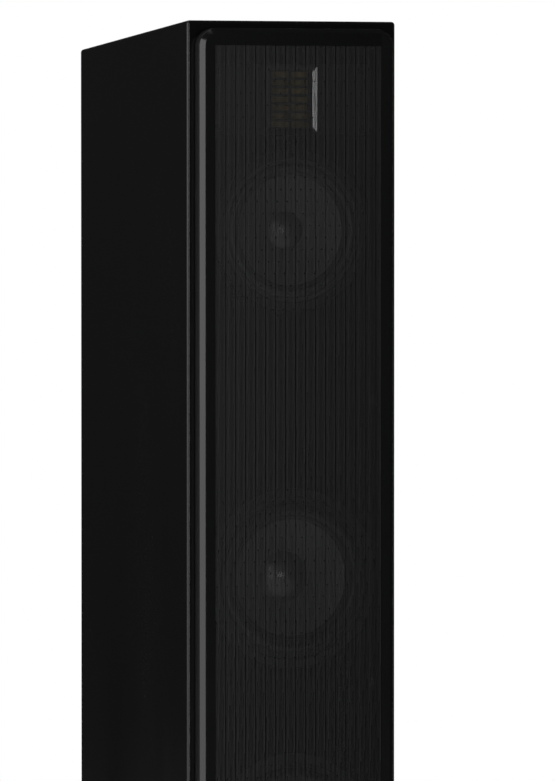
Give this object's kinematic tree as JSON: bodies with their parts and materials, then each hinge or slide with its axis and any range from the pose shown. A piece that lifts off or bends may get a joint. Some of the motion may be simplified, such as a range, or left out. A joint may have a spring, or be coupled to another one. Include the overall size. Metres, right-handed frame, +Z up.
{
  "type": "floorstanding speaker",
  "caption": "Slim black floorstanding loudspeaker with a full-height perforated grille, pleated-ribbon tweeter, cone drivers behind it, rear port and levelling feet.",
  "frame": {"origin": "on the floor, centre of the footprint, feet at their middle setting", "axes": "+Z up, the baffle and grille face -Y, +X to the right when the grille is looked at from the front"},
  "size_m": [0.194, 0.325, 1.0798],
  "materials": {
    "cabinet_lacquer": "black satin lacquer over fibreboard",
    "raw_mdf": "raw fibreboard",
    "wadding": "white polyester wadding",
    "faceplate_black": "fine black powder coat",
    "motor_steel": "zinc-plated steel",
    "ribbon_foil": "gold-toned foil",
    "magnet_plating": "nickel plating",
    "basket_cast": "black painted casting",
    "ferrite": "sintered ferrite",
    "surround_rubber": "matt black rubber",
    "spider_cloth": "resin-dipped woven cotton",
    "cone_pulp": "coated black paper pulp",
    "dust_cap": "satin black dome",
    "copper": "enamelled copper wire",
    "screw_black": "black-oxide steel",
    "grille_black": "satin black perforated steel",
    "moulded_black": "fine-textured black moulding",
    "post_plating": "gold-plated brass",
    "cap_red": "translucent red insulation",
    "cap_black": "black insulation",
    "capacitor_film": "yellow film wrap",
    "wire_sleeve": "insulated copper cable",
    "foot_steel": "black-chromed steel",
    "foot_rubber": "soft black rubber"
  },
  "bodies": {
    "cabinet": {"left_side_panel": "cabinet_lacquer", "right_side_panel": "cabinet_lacquer", "top_panel": "cabinet_lacquer", "bottom_panel": "cabinet_lacquer", "rear_panel": "cabinet_lacquer", "front_baffle": "cabinet_lacquer", "midrange_chamber_shelf": "raw_mdf", "window_braces": "raw_mdf", "damping_wadding": "wadding", "tweeter_faceplate": "faceplate_black", "tweeter_pole_grid": "motor_steel", "tweeter_diaphragm": "ribbon_foil", "tweeter_magnets": "magnet_plating", "tweeter_back_plate": "motor_steel", "midrange_basket": "basket_cast", "midrange_front_plate": "motor_steel", "midrange_magnet": "ferrite", "midrange_t_yoke": "motor_steel", "midrange_surround": "surround_rubber", "midrange_spider": "spider_cloth", "woofer_baskets": "basket_cast", "woofer_front_plates": "motor_steel", "woofer_magnets": "ferrite", "woofer_t_yokes": "motor_steel", "upper_woofer_surround": "surround_rubber", "upper_woofer_spider": "spider_cloth", "lower_woofer_surround": "surround_rubber", "lower_woofer_spider": "spider_cloth", "wood_screws": "screw_black", "grille_magnets": "magnet_plating", "port_tube": "moulded_black", "terminal_cup": "moulded_black", "binding_post_studs": "post_plating", "crossover_board": "raw_mdf", "crossover_inductors": "copper", "crossover_capacitors": "capacitor_film", "wiring_harness": "wire_sleeve", "foot_inserts": "foot_steel"},
    "grille": {"grille": "grille_black"},
    "midrange_moving_assembly": {"midrange_cone": "cone_pulp", "midrange_dust_cap": "dust_cap", "midrange_voice_coil": "copper"},
    "upper_woofer_moving_assembly": {"upper_woofer_cone": "cone_pulp", "upper_woofer_dust_cap": "dust_cap", "upper_woofer_voice_coil": "copper"},
    "lower_woofer_moving_assembly": {"lower_woofer_cone": "cone_pulp", "lower_woofer_dust_cap": "dust_cap", "lower_woofer_voice_coil": "copper"},
    "red_post_washer": {"red_post_washer": "post_plating"},
    "red_post_cap": {"red_post_cap": "cap_red"},
    "black_post_washer": {"black_post_washer": "post_plating"},
    "black_post_cap": {"black_post_cap": "cap_black"},
    "foot_pad_front_left": {"foot_pad_front_left": "foot_rubber"},
    "foot_stud_front_left": {"foot_stud_front_left": "foot_steel"},
    "foot_pad_front_right": {"foot_pad_front_right": "foot_rubber"},
    "foot_stud_front_right": {"foot_stud_front_right": "foot_steel"},
    "foot_pad_rear_left": {"foot_pad_rear_left": "foot_rubber"},
    "foot_stud_rear_left": {"foot_stud_rear_left": "foot_steel"},
    "foot_pad_rear_right": {"foot_pad_rear_right": "foot_rubber"},
    "foot_stud_rear_right": {"foot_stud_rear_right": "foot_steel"}
  },
  "joints": [
    {"name": "grille_pull_off", "type": "slide", "parent": "cabinet", "child": "grille", "axis": [0, -1, 0], "range_m": [0, 0.06]},
    {"name": "midrange_cone_travel", "type": "slide", "parent": "cabinet", "child": "midrange_moving_assembly", "axis": [0, -1, 0], "range_m": [-0.0025, 0.0025], "deforming": ["midrange_surround", "midrange_spider"]},
    {"name": "upper_woofer_cone_travel", "type": "slide", "parent": "cabinet", "child": "upper_woofer_moving_assembly", "axis": [0, -1, 0], "range_m": [-0.005, 0.005], "deforming": ["upper_woofer_surround", "upper_woofer_spider"]},
    {"name": "lower_woofer_cone_travel", "type": "slide", "parent": "cabinet", "child": "lower_woofer_moving_assembly", "axis": [0, -1, 0], "range_m": [-0.005, 0.005], "deforming": ["lower_woofer_surround", "lower_woofer_spider"]},
    {"name": "red_post_lift", "type": "slide", "parent": "cabinet", "child": "red_post_washer", "axis": [0, 1, 0], "range_m": [0, 0.006]},
    {"name": "red_post_turn", "type": "hinge", "parent": "red_post_washer", "child": "red_post_cap", "pos_m": [-0.019, 0.1425, 0.118], "axis": [0, 1, 0], "range_deg": [-10, 2170]},
    {"name": "black_post_lift", "type": "slide", "parent": "cabinet", "child": "black_post_washer", "axis": [0, 1, 0], "range_m": [0, 0.006]},
    {"name": "black_post_turn", "type": "hinge", "parent": "black_post_washer", "child": "black_post_cap", "pos_m": [0.019, 0.1425, 0.118], "axis": [0, 1, 0], "range_deg": [-10, 2170]},
    {"name": "foot_lift_front_left", "type": "slide", "parent": "cabinet", "child": "foot_pad_front_left", "axis": [0, 0, -1], "range_m": [-0.0048, 0.01]},
    {"name": "foot_turn_front_left", "type": "hinge", "parent": "foot_pad_front_left", "child": "foot_stud_front_left", "pos_m": [-0.072, -0.1095, 0.015], "axis": [0, 0, -1], "range_deg": [-1450, 2890]},
    {"name": "foot_lift_front_right", "type": "slide", "parent": "cabinet", "child": "foot_pad_front_right", "axis": [0, 0, -1], "range_m": [-0.0048, 0.01]},
    {"name": "foot_turn_front_right", "type": "hinge", "parent": "foot_pad_front_right", "child": "foot_stud_front_right", "pos_m": [0.072, -0.1095, 0.015], "axis": [0, 0, -1], "range_deg": [-1450, 2890]},
    {"name": "foot_lift_rear_left", "type": "slide", "parent": "cabinet", "child": "foot_pad_rear_left", "axis": [0, 0, -1], "range_m": [-0.0048, 0.01]},
    {"name": "foot_turn_rear_left", "type": "hinge", "parent": "foot_pad_rear_left", "child": "foot_stud_rear_left", "pos_m": [-0.072, 0.1265, 0.015], "axis": [0, 0, -1], "range_deg": [-1450, 2890]},
    {"name": "foot_lift_rear_right", "type": "slide", "parent": "cabinet", "child": "foot_pad_rear_right", "axis": [0, 0, -1], "range_m": [-0.0048, 0.01]},
    {"name": "foot_turn_rear_right", "type": "hinge", "parent": "foot_pad_rear_right", "child": "foot_stud_rear_right", "pos_m": [0.072, 0.1265, 0.015], "axis": [0, 0, -1], "range_deg": [-1450, 2890]}
  ],
  "couplings": [
    {"joint": "red_post_turn", "follows": "red_post_lift", "rad_per_m": 6283.2},
    {"joint": "black_post_turn", "follows": "black_post_lift", "rad_per_m": 6283.2},
    {"joint": "foot_turn_front_left", "follows": "foot_lift_front_left", "rad_per_m": 5026.5},
    {"joint": "foot_turn_front_right", "follows": "foot_lift_front_right", "rad_per_m": 5026.5},
    {"joint": "foot_turn_rear_left", "follows": "foot_lift_rear_left", "rad_per_m": 5026.5},
    {"joint": "foot_turn_rear_right", "follows": "foot_lift_rear_right", "rad_per_m": 5026.5}
  ]
}
